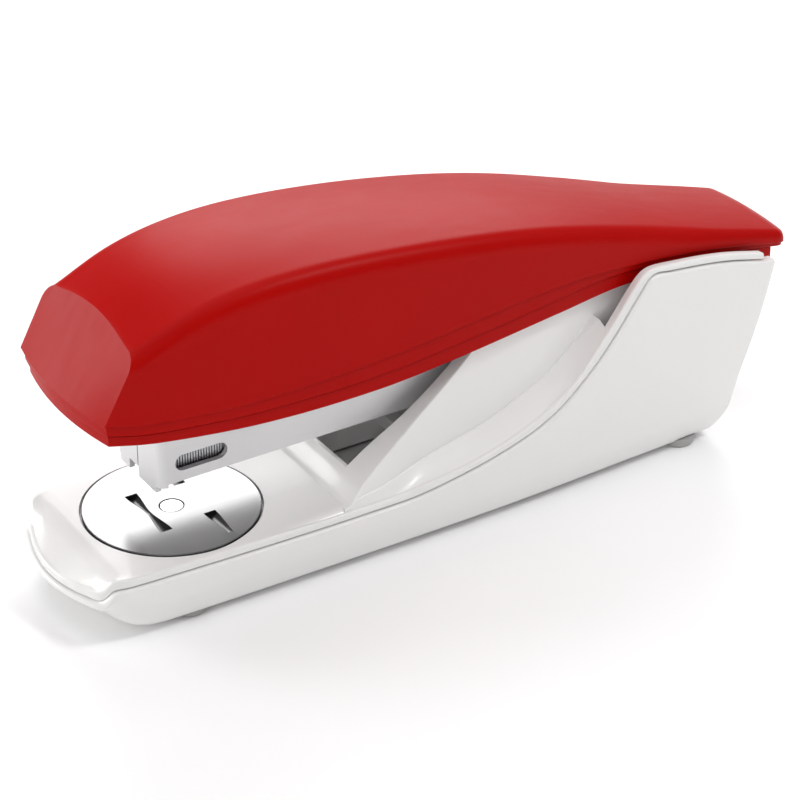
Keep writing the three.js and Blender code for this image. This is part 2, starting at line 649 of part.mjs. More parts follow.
// ---- handle ----
// One slice of the handle: above its seam it leans with the nose face, less and less further back.
function handleSlice(station, inset, floor, ceiling, roofed = true) {
  const fade = Math.max(0, 1 - (station - NOSE_X) / LEAN_REACH);
  const lean = NOSE_LEAN * fade ** 2;
  const at = (z) => station + lean * Math.max(0, z - NOSE_FOOT);
  const settle = (height) => [1, 2, 3].reduce((z) => height(at(z)), NOSE_FOOT);
  const crest = settle(ceiling);
  const foot = settle(floor);
  const half = handleHalf(at((crest + foot) / 2)) - inset;
  const dome = roofed ? 0.4 + 0.9 * Math.max(0, 1 - (station - NOSE_X) / 140) : 0;
  const shoulder = roofed ? Math.min(3.1, 0.75 * (crest - dome - foot)) : 0;
  const eave = crest - dome;
  const wallTop = roofed ? eave - shoulder : crest;
  const knee = THREE.MathUtils.clamp(NOSE_FOOT, foot + KNEE_GAP, wallTop - KNEE_GAP);
  const right = [[half, foot], [half, knee]];
  if (roofed) {
    right.push([half, wallTop], [half - 0.15 * shoulder, eave - 0.62 * shoulder]);
    right.push([half - 0.62 * shoulder, eave - 0.15 * shoulder], [half - shoulder, eave]);
    right.push([(half - shoulder) * 0.55, crest - dome * 0.3]);
  } else {
    right.push([half, crest]);
  }
  const left = right.map(([y, z]) => [-y, z]).reverse();
  const ring = roofed ? [...right, [0, crest], ...left] : [...right, ...left];
  const bow = (y, z) => {
    const reach = THREE.MathUtils.clamp((NOSE_TOP - z) / (NOSE_TOP - NOSE_FOOT), 0, 1);
    return NOSE_BOW * fade ** 4 * (1 - (y / half) ** 2) * reach;
  };
  return ring.map(([y, z]) => [at(z) - bow(y, z), y, z]);
}

function handleBody(inset, floor, ceiling, [start, end], roofed = true) {
  const xs = [start, ...HANDLE_STATIONS.filter((x) => x > start + 1 && x < end - 0.3), end];
  return loft(xs.map((x) => handleSlice(x, inset, floor, ceiling, roofed)), foldedLid);
}

function handleShell() {
  const skin = handleBody(0, seam, crown, [NOSE_X, TAIL_END]);
  const lip = handleBody(0.5, lipFoot, (x) => seam(x) + 0.8, [NOSE_X + 0.5, TAIL_END - 0.9], false);
  const ceiling = (gap) => (x) => crown(x) - gap;
  const hollow = handleBody(HANDLE_WALL, () => 22, ceiling(HANDLE_ROOF), [NOSE_X + 1.6, TAIL_END - 2.6]);
  const room = handleBody(HANDLE_WALL - 0.3, () => 22, ceiling(1.2), [NOSE_X + 1.5, TAIL_END - 2.2]);
  const ribs = BOSS_PLACES.map((x) => common(upright(BOSS_RADIUS, roofHeight(x) + 0.4, 70, [x, 0]), room));
  const shell = join(cut(join(skin, lip), hollow), ...ribs);
  return cut(shell, ...BOSS_PLACES.map((x) => upright(1.5, 30, roofHeight(x) + BOSS_DEPTH, [x, 0], 16)));
}

function handleSkirt() {
  const lower = handleBody(1, skirtFoot, (x) => lipFoot(x) - 0.3, [NOSE_X + 1, TAIL_END - 3.2], false);
  const upper = handleBody(1.7, skirtFoot, (x) => lipFoot(x) + 3.5, [NOSE_X + 2, 84], false);
  const inner = handleBody(2.3, () => 15, () => 75, [NOSE_X + 2.9, TAIL_END - 4.4], false);
  return cut(join(lower, upper), inner);
}

function roofHeight(x) {
  const { front, rear, bend, end } = FRAME_ROOF;
  return x < bend ? front : front + ((rear - front) * (x - bend)) / (end - bend);
}

function handleFrame() {
  const { front, rear, bend, end } = FRAME_ROOF;
  const side = new THREE.Shape();
  side.moveTo(FRAME_START, front);
  side.lineTo(FRAME_START, 39);
  side.lineTo(10, 36);
  side.lineTo(88, 34.4);
  side.lineTo(99.5, 22.8);
  side.absarc(PIVOT.x, PIVOT.z, EAR_RADIUS, -2.45, 1.2);
  side.lineTo(104, rear - 4.5);
  side.lineTo(end, rear);
  side.lineTo(bend, front);
  const roofTop = [[FRAME_START, front], [bend, front], [end, rear]];
  const roofUnder = roofTop.map(([x, z]) => [x, z - FRAME_SHEET]).reverse();
  const roof = sideways(outline([...roofUnder, ...roofTop]), -FRAME_HALF, FRAME_HALF);
  const inner = FRAME_HALF - FRAME_SHEET;
  const frame = join(roof, sideways(side, -FRAME_HALF, -inner), sideways(side, inner, FRAME_HALF));
  const screwHoles = BOSS_PLACES.map((x) => upright(1.6, 30, 50, [x, 0], 16));
  return cut(frame, crosswise(PIN_HOLE, -20, 20, PIVOT), ...screwHoles, ...bladeRivetHoles());
}

function bladeRivetHoles() {
  return SIDES.map(([side]) => upright(BLADE_RIVET.hole, 30, 50, [BLADE_RIVET.x, side * BLADE_RIVET.y], 16));
}

// The blade is bent to the arc it travels about the hinge pin, so it stays inside its slot.
function driverBlade() {
  const radius = PIVOT.x - DRIVE_X;
  const arc = (offset, z) => [PIVOT.x - Math.sqrt((radius + offset) ** 2 - (z - PIVOT.z) ** 2), z];
  const seat = FRAME_ROOF.front + 0.05;
  const top = seat + 0.55;
  const front = stations(BLADE_TIP, top, 6).map((z) => arc(STAPLE_WIRE / 2, z));
  const back = stations(seat, BLADE_TIP, 6).map((z) => arc(-STAPLE_WIRE / 2, z));
  const blade = sideways(outline([...front, [3.4, top], [3.4, seat], ...back]), -BLADE_HALF, BLADE_HALF);
  return cut(blade, ...bladeRivetHoles());
}

function bladeRivet(side) {
  const low = FRAME_ROOF.front - FRAME_SHEET - 0.05;
  const high = FRAME_ROOF.front + 0.65;
  const under = [[0, low - 0.55], [1.6, low - 0.55], [1.9, low], [1.05, low]];
  const profile = [...under, [1.05, high], [1.9, high], [1.3, high + 0.6], [0, high + 0.6]];
  return turned(profile, 10, [BLADE_RIVET.x, side * BLADE_RIVET.y]);
}

function handleScrew(x) {
  const under = roofHeight(x) - FRAME_SHEET - 0.15;
  const tip = roofHeight(x) + BOSS_DEPTH - 0.3;
  const head = [[0, under - 1.2], [2, under - 1.2], [2.5, under - 0.5], [2.5, under]];
  return turned([...head, [1.3, under], [1.3, tip - 0.6], [0, tip]], 12, [x, 0]);
}

// ---- assembly ----
add('base_shell', baseShell(), palePlastic());
add('base_liner', baseLiner(), palePlastic());
add('base_frame', baseFrame(), plated());
add('hinge_pin', hingePin(), polished());
add('pin_clip', pinClip(), springSteel());
add('return_leaf', returnLeaf(), springSteel());
add('leaf_rivet', leafRivet(), plated());
for (const [x, end] of FOOT_PLACES) {
  for (const [side, hand] of SIDES) add(`foot_${end}_${hand}`, foot(x, side), rubber());
}
SCREW_PLACES.forEach((place, i) => add(`base_screw_${i + 1}`, baseScrew(place), springSteel()));

add('anvil_button', anvilButton(), plated());
add('anvil_disc', anvilDisc(), polished());
add('anvil_spring', anvilSpring(), springSteel());

add('magazine_channel', magazineChannel(), plated());
add('staple_rail', stapleRail(), plated());
RAIL_RIVETS.forEach((x, i) => add(`rail_rivet_${i + 1}`, railRivet(x), plated()));
add('staple_strip', stapleStrip(), polished());
add('guide_rod', guideRod(), polished());
add('spring_bracket', springBracket(), plated());
add('handle_spring', handleSpring(), springSteel());
add('pusher', pusher(), blackPlastic());
add('pusher_spring', pusherSpring(), springSteel());

add('handle_shell', handleShell(), redPlastic());
add('handle_skirt', handleSkirt(), redPlastic());
add('handle_frame', handleFrame(), plated());
add('driver_blade', driverBlade(), springSteel());
for (const [side, hand] of SIDES) add(`blade_rivet_${hand}`, bladeRivet(side), plated());
BOSS_PLACES.forEach((x, i) => add(`handle_screw_${i + 1}`, handleScrew(x), springSteel()));

export default stapler;
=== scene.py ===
"""Looks of a desk stapler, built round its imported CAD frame.

Shapes are worked out in millimetres with x counted from the anvil's axis, as in the CAD source,
and mm() turns them into metres in the row frame.
"""

import json
import math

import bmesh
import bpy
import numpy as np
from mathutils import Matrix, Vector


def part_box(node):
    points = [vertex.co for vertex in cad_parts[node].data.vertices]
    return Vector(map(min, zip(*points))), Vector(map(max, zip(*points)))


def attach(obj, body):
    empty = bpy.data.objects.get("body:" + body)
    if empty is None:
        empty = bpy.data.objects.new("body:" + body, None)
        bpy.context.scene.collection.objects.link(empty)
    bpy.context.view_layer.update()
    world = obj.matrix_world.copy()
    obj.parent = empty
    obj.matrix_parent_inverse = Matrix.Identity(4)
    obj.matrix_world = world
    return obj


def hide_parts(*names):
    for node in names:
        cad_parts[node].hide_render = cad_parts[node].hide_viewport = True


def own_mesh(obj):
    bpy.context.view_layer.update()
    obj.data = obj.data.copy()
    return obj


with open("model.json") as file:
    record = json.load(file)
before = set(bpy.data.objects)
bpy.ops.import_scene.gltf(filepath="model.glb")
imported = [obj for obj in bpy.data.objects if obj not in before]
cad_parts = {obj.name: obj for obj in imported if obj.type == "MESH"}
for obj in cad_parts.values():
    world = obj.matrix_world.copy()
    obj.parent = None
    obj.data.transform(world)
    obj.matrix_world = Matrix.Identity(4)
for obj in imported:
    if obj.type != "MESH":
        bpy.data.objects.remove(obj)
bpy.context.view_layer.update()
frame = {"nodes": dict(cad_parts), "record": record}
ANVIL_X = (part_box("anvil_disc")[0].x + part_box("anvil_disc")[1].x) / 2
MM = 0.001

# ---- dimensions in mm, most of them as in the CAD source ----
BASE_TIP = -24.0
TAIL_END = 121.0
PIVOT_X, PIVOT_Z = 104.5, 26.5
NOSE_X, NOSE_FOOT, NOSE_LEAN, NOSE_BOW = -18.65, 41.5, 0.55, 1.6
NOSE_TOP = 54.0
LEAN_REACH = 34.0
SHELL_WALL = 1.8
DISC_TOP, DISC_RADIUS, DISC_THICK = 12.65, 15.12, 0.95
RECESS_RADIUS, RECESS_FLOOR = 15.52, 11.4
CHEEK_INNER = 9.7
LINER_FOOT = 6.0
FOOT_PLACES = ((-3.7, "front"), (97.6, "rear"))
FOOT_Y = 11.9
SCREW_PLACES = ((16, -6), (16, 6), (74, -6), (74, 6))
BOSS_PLACES = (8.5, 82)
ROD_Z = 31.9


def through(points):
    """A smooth curve through a few points."""
    xs = [p[0] for p in points]
    ys = [p[1] for p in points]
    end = len(points) - 1
    slopes = []
    for i in range(end + 1):
        a, b = max(i - 1, 0), min(i + 1, end)
        slopes.append((ys[b] - ys[a]) / (xs[b] - xs[a]))

    def value(x):
        i = 0
        while i < end - 1 and x > xs[i + 1]:
            i += 1
        span = xs[i + 1] - xs[i]
        t = min(1.0, max(0.0, (x - xs[i]) / span))
        rise = (3 - 2 * t) * t * t
        bend = slopes[i] * t * (1 - t) ** 2 - slopes[i + 1] * t * t * (1 - t)
        return ys[i] * (1 - rise) + ys[i + 1] * rise + span * bend

    return value


# Heights and half widths in mm, by x.
base_half = through([(-24, 15.6), (-14, 16.8), (30, 17.49), (60, 17.39), (87, 16.3), (119, 15.2)])
shell_top = through([
    (-24, 7.2), (-21.5, 7.7), (-20.3, 8.2), (-19.6, 9.2), (-18.9, 10.3), (-18, 10.7), (-16, 10.8),
    (35, 10.3), (45, 11.3), (58, 14.1), (67, 17.8), (75, 24.2), (80, 29.8), (84, 35), (87, 38.3),
    (91, 38.1), (103, 36.4), (114.5, 33.5),
])
rim_top = through([
    (-24, 8.7), (-21.5, 9.3), (-20.3, 9.9), (-19.6, 10.9), (-18.9, 12.0), (-18, 12.4), (-16, 12.5),
    (2, 12.3), (30, 11.7), (45.6, 13), (55.8, 15.1), (65, 18.7), (71.2, 22.8), (78.7, 31.3), (84, 37.9),
    (86.5, 39.6), (91, 39.5), (103, 37.8), (114.5, 34.9),
])
tray_top = through([
    (-24, 8.8), (-21.5, 9.8), (-19.6, 11.1), (-17.5, 12.1), (-15, 12.45), (-13, 12.5), (0, 12.5), (30, 12.5),
])
cheek_face = through([
    (24.4, 16.2), (25.8, 16.1), (29, 15.7), (32.8, 15), (36.8, 14), (40.2, 13.2), (46, 12.6), (52.2, 12.2),
    (70, 11.6), (88, 10.7),
])
crease_height = through([
    (24.4, 12.9), (25.8, 13.4), (36.4, 14.1), (47.4, 16), (55.3, 17.6), (62.9, 20.6), (68, 23),
    (73.1, 26.9), (78, 31.4),
])
band_top = through([
    (24.2, 12.35), (25.2, 12.75), (26.2, 13.8), (27.4, 15.2), (29, 16.5), (32.8, 19), (40.2, 23.2),
    (48.4, 29.2), (56, 36), (58, 37), (88, 37),
])
keel = through([
    (-24, 6.4), (-21.5, 5.7), (-19.7, 4.9), (-17.8, 3.6), (-15.4, 2.2), (-11.8, 1.0), (-8, 0.8), (120, 0.8),
])
# How far back the rear face stands, by height.
rear_face = through([
    (0, 105.3), (2, 105.4), (4, 106), (7, 107), (12.1, 108.6), (16.7, 110.5), (24.3, 113.1),
    (33.2, 115.4), (40, 116.8),
])

handle_half = through([
    (-19, 15), (0, 15.6), (20, 16), (45, 15.6), (70, 14.4), (95, 12.8), (119, 11.2), (120.3, 10.7),
    (121, 9.8),
])
crown = through([
    (-12.4, 53.7), (-3, 57.5), (6, 59.35), (17.5, 59.86), (33, 58.75), (52, 56), (68.5, 52.5),
    (85.5, 47.5), (103, 41.7), (119, 36.8), (121, 35.8),
])
seam = through([
    (-18.4, 41.4), (-11.9, 39.7), (0.7, 38.4), (8.7, 38), (31, 38.6), (60.6, 40.8), (76, 41), (100, 38.3),
    (121, 33.7),
])
lip_foot = through([
    (-18.8, 39.5), (-10.8, 37.5), (0.9, 36.2), (9, 35.6), (31.7, 35.5), (61, 37.7), (80.5, 39.2), (100, 37.1),
    (121, 32.9),
])
skirt_foot = through([
    (-18.4, 37.3), (-9.2, 35.2), (9.2, 33.1), (32, 32.6), (48, 33.6), (69.3, 35.4), (84.4, 36.4), (101, 34.3),
    (117, 30.9),
])


# ---- mesh tools ----
SHARP_DEGREES = 34
SOFT_EDGE, SKIRT_EDGE, STAPLE_EDGE, NODE_EDGE = 0.22, 0.2, 0.07, 0.07


class Net:
    """Points and faces of a mesh under construction."""

    def __init__(self):
        self.points = []
        self.faces = []

    def add(self, points):
        start = len(self.points)
        self.points.extend(tuple(float(c) for c in p) for p in points)
        return list(range(start, len(self.points)))

    def strip(self, first, second, closed=True):
        count = len(first)
        for i in range(count if closed else count - 1):
            j = (i + 1) % count
            self.faces.append((first[i], first[j], second[j], second[i]))

    def stack(self, loops):
        """Adds loops of points and joins each to the next."""
        made = [self.add(loop) for loop in loops]
        for low, high in zip(made, made[1:]):
            self.strip(low, high)
        return made

    def patch(self, loop, across, where):
        """Fills a closed symmetric loop with a grid. across is the number of segments on half an end;
        where(left, right, share) gives a point between two facing side points."""
        count = len(loop)
        middle = count // 2

        def right(i):
            return loop[i]

        def left(i):
            return loop[(count - i) % count]

        rows = [[left(i) for i in range(across, 0, -1)] + [right(i) for i in range(across + 1)]]
        shares = np.linspace(0, 1, 2 * across + 1)[1:-1]
        last = middle - across
        for i in range(across + 1, last):
            ends = [np.array(self.points[k]) for k in (left(i), right(i))]
            rows.append([left(i)] + self.add([where(*ends, s) for s in shares]) + [right(i)])
        rows.append([left(i) for i in range(last, middle)] + [right(i) for i in range(middle, last - 1, -1)])
        for near, far in zip(rows, rows[1:]):
            self.strip(near, far, closed=False)

    def solid(self, loops):
        """A stack of loops, closed by one face at each end."""
        made = self.stack(loops)
        self.faces.append(tuple(made[0]))
        self.faces.append(tuple(made[-1]))


def flat_between(left, right, share):
    return left + (right - left) * share


def both_sides(right):
    """A closed loop from its +y half, whose first and last points lie on the middle plane."""
    return list(right) + [(x, -y, z) for x, y, z in reversed(right[1:-1])]


def in_scene(obj):
    bpy.context.scene.collection.objects.link(obj)
    return obj


def mm(points):
    return np.array(points, float).reshape(-1, 3) * MM + np.array((ANVIL_X, 0, 0))


def mesh_of(name, net):
    mesh = bpy.data.meshes.new(name)
    mesh.from_pydata([tuple(p) for p in mm(net.points)], [], net.faces)
    work = bmesh.new()
    work.from_mesh(mesh)
    bmesh.ops.recalc_face_normals(work, faces=work.faces)
    work.to_mesh(mesh)
    work.free()
    mesh.shade_smooth()
    mesh.set_sharp_from_angle(angle=math.radians(SHARP_DEGREES))
    return in_scene(bpy.data.objects.new(name, mesh))


def soften(obj, width, angle=SHARP_DEGREES):
    """Rounds the sharp edges a little and keeps broad faces flat."""
    if width:
        bevel = obj.modifiers.new("edges", "BEVEL")
        bevel.width = width * MM
        bevel.segments = 2
        bevel.limit_method = "ANGLE"
        bevel.angle_limit = math.radians(angle)
        bevel.use_clamp_overlap = True
    weighted = obj.modifiers.new("normals", "WEIGHTED_NORMAL")
    weighted.keep_sharp = True


def combine(obj, net, operation="DIFFERENCE"):
    """Cuts closed forms out of a piece, or joins them on, and keeps only the result."""
    cutter = mesh_of("cutter", net)
    boolean = obj.modifiers.new("cut", "BOOLEAN")
    boolean.operation = operation
    boolean.solver = "EXACT"
    boolean.object = cutter
    graph = bpy.context.evaluated_depsgraph_get()
    result = bpy.data.meshes.new_from_object(obj.evaluated_get(graph))
    obj.modifiers.remove(boolean)
    obj.data = result
    bpy.data.objects.remove(cutter)
    result.shade_smooth()
    result.set_sharp_from_angle(angle=math.radians(SHARP_DEGREES))


def finish_piece(obj, body, material, stands_for, round_edges=0.0):
    """Gives a piece its finish and its body, and hides the CAD node that it stands for."""
    obj.data.materials.clear()
    obj.data.materials.append(material)
    soften(obj, round_edges)
    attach(obj, body)
    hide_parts(stands_for)
    return obj


def round_angles(sides):
    return [2 * math.pi * i / sides for i in range(sides)]


def lathe(net, profile, centre, sides):
    """A turned form about an upright axis, closed flat at both ends of its (radius, height) profile."""
    x, y = centre
    net.solid([
        [(x + r * math.cos(a), y + r * math.sin(a), z) for a in round_angles(sides)] for r, z in profile
    ])


def tube(net, path, radius, sides=10):
    """A round wire along a path of points. Its section starts from a direction that no wire here runs in."""
    path = [np.array(p, float) for p in path]
    tangents = [path[min(i + 1, len(path) - 1)] - path[max(i - 1, 0)] for i in range(len(path))]
    tangents = [t / np.linalg.norm(t) for t in tangents]
    side = np.cross(tangents[0], (0.31, 0.85, 0.42))
    rings = []
    for point, tangent in zip(path, tangents):
        side = side - tangent * (side @ tangent)
        side /= np.linalg.norm(side)
        up = np.cross(tangent, side)
        rings.append([point + radius * (math.cos(a) * side + math.sin(a) * up) for a in round_angles(sides)])
    net.solid(rings)


# ---- materials ----
ALL_WAYS = (1, 1, 1)
CLOUD_SCALE, SCUFF_SCALE = 42, 160
COAT_ROUGHNESS = 0.14
# Colour of the painted shade in the anvil's grooves.
GROOVE_PAINTED_SHADE = (0.06, 0.06, 0.06, 1)


def noise(tree, scale, stretch, detail):
    nodes, links = tree.nodes, tree.links
    place = nodes.new("ShaderNodeTexCoord")
    mapping = nodes.new("ShaderNodeMapping")
    mapping.inputs["Scale"].default_value = stretch
    texture = nodes.new("ShaderNodeTexNoise")
    texture.inputs["Scale"].default_value = scale
    texture.inputs["Detail"].default_value = detail
    links.new(place.outputs["Object"], mapping.inputs["Vector"])
    links.new(mapping.outputs["Vector"], texture.inputs["Vector"])
    return texture.outputs["Fac"]


def spread(tree, value, low, high, start=0.3, end=0.7):
    node = tree.nodes.new("ShaderNodeMapRange")
    node.inputs["From Min"].default_value = start
    node.inputs["From Max"].default_value = end
    node.inputs["To Min"].default_value = low
    node.inputs["To Max"].default_value = high
    tree.links.new(value, node.inputs["Value"])
    return node.outputs["Result"]


def surface(name, colour, tint, roughness, grain, metallic=0.0, specular=0.5, coat=0.0, shade_below=None):
    """A procedural finish, clouded from colour to tint. roughness is (low, high); grain is (scale, stretch,
    bump strength, depth in mm); shade_below is a height in mm under which painted shade darkens the
    colour, standing in for the shade in the anvil's grooves."""
    material = bpy.data.materials.new(name)
    material.use_nodes = True
    tree = material.node_tree
    shader = tree.nodes["Principled BSDF"]
    shader.inputs["Metallic"].default_value = metallic
    shader.inputs["Specular IOR Level"].default_value = specular
    shader.inputs["Coat Weight"].default_value = coat
    shader.inputs["Coat Roughness"].default_value = COAT_ROUGHNESS
    scale, stretch, strength, depth = grain
    cloud = noise(tree, CLOUD_SCALE, ALL_WAYS, 1)
    mix = tree.nodes.new("ShaderNodeMix")
    mix.data_type = "RGBA"
    mix.inputs["A"].default_value = (*colour, 1)
    mix.inputs["B"].default_value = (*tint, 1)
    tree.links.new(spread(tree, cloud, 0, 1), mix.inputs["Factor"])
    painted = mix.outputs["Result"]
    # Painted shade: below this height the colour goes dark, standing in for the shade in the grooves.
    if shade_below:
        place = tree.nodes.new("ShaderNodeTexCoord")
        split = tree.nodes.new("ShaderNodeSeparateXYZ")
        tree.links.new(place.outputs["Object"], split.inputs["Vector"])
        deep = spread(tree, split.outputs["Z"], 1, 0, (shade_below - 0.3) * MM, (shade_below - 0.03) * MM)
        darker = tree.nodes.new("ShaderNodeMix")
        darker.data_type = "RGBA"
        darker.inputs["B"].default_value = GROOVE_PAINTED_SHADE
        tree.links.new(deep, darker.inputs["Factor"])
        tree.links.new(painted, darker.inputs["A"])
        painted = darker.outputs["Result"]
    tree.links.new(painted, shader.inputs["Base Color"])
    fine = noise(tree, scale, stretch, 2)
    add = tree.nodes.new("ShaderNodeMath")
    add.operation = "MULTIPLY_ADD"
    tree.links.new(fine, add.inputs[0])
    add.inputs[1].default_value = 0.6
    scuffs = noise(tree, SCUFF_SCALE, (1, 3, 1), 2)
    tree.links.new(spread(tree, scuffs, 0, 0.4, 0.2, 0.8), add.inputs[2])
    tree.links.new(spread(tree, add.outputs[0], *roughness, 0.2, 0.7), shader.inputs["Roughness"])
    bump = tree.nodes.new("ShaderNodeBump")
    bump.inputs["Strength"].default_value = strength
    bump.inputs["Distance"].default_value = depth * MM
    tree.links.new(fine, bump.inputs["Height"])
    tree.links.new(bump.outputs["Normal"], shader.inputs["Normal"])
    return material


RED = surface(
    "red_satin", (0.385, 0.001, 0.0002), (0.405, 0.0013, 0.0003), (0.34, 0.42),
    (3600, ALL_WAYS, 0.22, 0.05), specular=0.075)
PALE = surface(
    "pale_satin", (0.82, 0.812, 0.802), (0.83, 0.822, 0.812), (0.4, 0.46),
    (3000, ALL_WAYS, 0.06, 0.02), specular=0.3, coat=0.4)
SHEET_STEEL = surface(
    "nickel_sheet", (0.74, 0.74, 0.745), (0.70, 0.70, 0.71), (0.34, 0.44),
    (1500, (0.03, 1, 1), 0.12, 0.02), metallic=0.7)
MIRROR = surface(
    "polished_nickel", (0.6, 0.6, 0.6), (0.56, 0.56, 0.565), (0.05, 0.1),
    (2600, ALL_WAYS, 0.03, 0.01), metallic=1.0)
# Painted shade darkens the anvil's colour below the disc's top, for the shade in its grooves.
ANVIL = surface(
    "anvil_nickel", (0.3, 0.3, 0.3), (0.28, 0.28, 0.282), (0.19, 0.24),
    (2600, ALL_WAYS, 0.03, 0.01), metallic=0.78, shade_below=DISC_TOP)
ZINC = surface(
    "zinc_sheet", (0.8, 0.8, 0.79), (0.74, 0.74, 0.73), (0.5, 0.65),
    (900, ALL_WAYS, 0.15, 0.03), metallic=0.25)
WIRE = surface(
    "spring_wire", (0.52, 0.53, 0.55), (0.42, 0.43, 0.45), (0.25, 0.4),
    (2200, ALL_WAYS, 0.15, 0.02), metallic=1.0)
STAPLES = surface(
    "staple_wire", (0.55, 0.56, 0.58), (0.45, 0.46, 0.48), (0.18, 0.32),
    (1800, (1, 1, 0.05), 0.12, 0.02), metallic=1.0)
FOOT = surface(
    "foot_rubber", (0.42, 0.42, 0.41), (0.36, 0.36, 0.35), (0.6, 0.75), (2400, ALL_WAYS, 0.3, 0.06))
BLACK = surface(
    "black_moulding", (0.03, 0.03, 0.032), (0.045, 0.045, 0.048), (0.4, 0.55), (2400, ALL_WAYS, 0.2, 0.04))
PAPER = surface(
    "studio_floor", (0.97, 0.97, 0.97), (0.96, 0.96, 0.96), (0.75, 0.85), (300, ALL_WAYS, 0.02, 0.05))

SLOT_FINISH = {
    "red_plastic": RED, "pale_plastic": PALE, "plated_steel": SHEET_STEEL, "polished_steel": MIRROR,
    "spring_steel": WIRE, "foot_rubber": FOOT, "black_plastic": BLACK,
}


# ---- handle ----
ACROSS = 8
HANDLE_STATIONS = np.concatenate([
    (-18.65, -18.2, -17.4, -16.2, -14.6), np.arange(-12.6, 117.5, 2.15),
    (118.2, 119.2, 119.8, 120.3, 120.7, 121.0),
])
BOW_REACH = 12.5
DOME_TAIL, DOME_NOSE = 0.4, 0.9
SHOULDER = 3.1
WALL, NOSE_WALL, TAIL_WALL, ROOF = 1.4, 1.7, 2.6, 1.6
LIP, LIP_EDGE, SEAM_STEP = 0.5, 0.14, 0.12
SHELF_DROP, SKIRT_RISE, SKIRT_END, SKIRT_SLOPE = 0.3, 3.6, 88, 12
SETTLE_STEPS, DOME_STEPS = 8, 6
FRAME_ROOF, FRAME_BEND, FRAME_DROP = 44, 14, 3 / 82


def crest_dome_shoulder(x):
    """The roof's height in the middle, how far it domes above the shoulders, and the shoulders' radius."""
    crest = crown(x)
    dome = DOME_TAIL + DOME_NOSE * max(0.0, 1 - (x - NOSE_X) / 140)
    return crest, dome, min(SHOULDER, 0.75 * (crest - dome - seam(x)))


def handle_loop(side_in, nose_in, tail_in, height, width=None):
    """A closed loop round the handle: the nose's width, the sides and the tail. height(x, share) gives z,
    where share is 0 in the middle of an end and 1 at the sides; width(x) gives half the width."""
    half_at = width or (lambda x: handle_half(x) - side_in)
    start, end = NOSE_X + nose_in, TAIL_END - tail_in
    places = start + (HANDLE_STATIONS - NOSE_X) * (end - start) / (TAIL_END - NOSE_X)

    def point(place, share, bowed):
        fade = max(0.0, 1 - (place - start) / LEAN_REACH)
        x = place
        for _ in range(SETTLE_STEPS):
            z = height(x, share)
            x = place + NOSE_LEAN * fade**2 * max(0.0, z - NOSE_FOOT)
        reach = min(1.0, max(0.0, (NOSE_TOP - z) / BOW_REACH)) if bowed else 0
        return (x - NOSE_BOW * reach * (1 - share**2), half_at(x) * share, z)

    shares = np.linspace(0, 1, ACROSS + 1)
    right = [point(places[0], s, True) for s in shares]
    right += [point(p, 1.0, False) for p in places[1:-1]]
    right += [point(places[-1], s, False) for s in reversed(shares)]
    return both_sides(right)


def rounded_top(side_in, nose_in, tail_in, foot, roof, steps=8):
    """Loops up the wall and round the shoulder, ready for the domed patch."""

    def eave(x):
        crest, dome, shoulder = crest_dome_shoulder(x)
        shoulder = max(0.3, shoulder - 0.6 * roof)
        return crest - roof, dome, shoulder

    loops = []
    for share_up in (0.2, 0.4, 0.6, 0.8, 1.0):
        def wall(x, _, up=share_up):
            crest, dome, shoulder = eave(x)
            return foot(x) + up * max(0.05, crest - dome - shoulder - foot(x))
        loops.append(handle_loop(side_in, nose_in, tail_in, wall))
    for step in range(1, steps + 1):
        angle = math.radians(90 * step / steps)

        def lifted(x, share, turn=angle, part=step / steps):
            crest, dome, shoulder = eave(x)
            side = crest - dome - shoulder * (1 - math.sin(turn))
            middle = crest - (1 - part) * (dome + shoulder)
            return side + (middle - side) * (1 - share**2)

        def narrowed(x, turn=angle):
            return handle_half(x) - side_in - eave(x)[2] * (1 - math.cos(turn))

        loops.append(handle_loop(side_in, nose_in, tail_in, lifted, narrowed))
    return loops


def domed(roof, nose_in):
    """Gives the roof's points between two facing side points. They lean back as the sides do."""
    start = NOSE_X + nose_in

    def where(left, right, share):
        side_x, side_z = left[0], left[2]
        place = side_x
        for _ in range(DOME_STEPS):
            lean = NOSE_LEAN * max(0.0, 1 - (place - start) / LEAN_REACH) ** 2
            place = side_x - lean * (side_z - NOSE_FOOT)
        bulge = 1 - (2 * share - 1) ** 2
        x = side_x
        for _ in range(DOME_STEPS):
            z = side_z + (crown(x) - roof - side_z) * bulge
            x = side_x + lean * (z - side_z)
        return (x, left[1] + (right[1] - left[1]) * share, z)

    return where


def handle_shell():
    net = Net()

    def at(curve, lift=0.0):
        return lambda x, share: curve(x) + lift

    outer = [
        handle_loop(LIP + SEAM_STEP, LIP + SEAM_STEP, LIP + 0.5, at(lip_foot)),
        handle_loop(LIP, LIP, LIP + 0.4, at(lip_foot, LIP_EDGE)),
        handle_loop(LIP, LIP, LIP + 0.4, at(seam)),
        handle_loop(SEAM_STEP, SEAM_STEP, SEAM_STEP, at(seam)),
        handle_loop(0, 0, 0, at(seam, LIP_EDGE)),
    ]
    outer += rounded_top(0, 0, 0, seam, 0)
    made = net.stack(outer)
    net.patch(made[-1], ACROSS, domed(0, 0))
    inner = [handle_loop(WALL, NOSE_WALL, TAIL_WALL, at(lip_foot))]
    inner += rounded_top(WALL, NOSE_WALL, TAIL_WALL, lip_foot, ROOF)
    hollow = net.stack(inner)
    net.patch(hollow[-1], ACROSS, domed(ROOF, NOSE_WALL))
    net.strip(made[0], hollow[0])
    shell = mesh_of("handle_cover", net)
    for x in BOSS_PLACES:
        foot = FRAME_ROOF - FRAME_DROP * max(0, x - FRAME_BEND) + 0.4
        boss = Net()
        lathe(boss, [(3.2, crown(x) - 1.2), (3.0, foot), (1.5, foot), (1.4, foot + 4.2)], (x, 0), 40)
        combine(shell, boss, "UNION")
    finish_piece(shell, "handle", RED, "handle_shell", SOFT_EDGE)


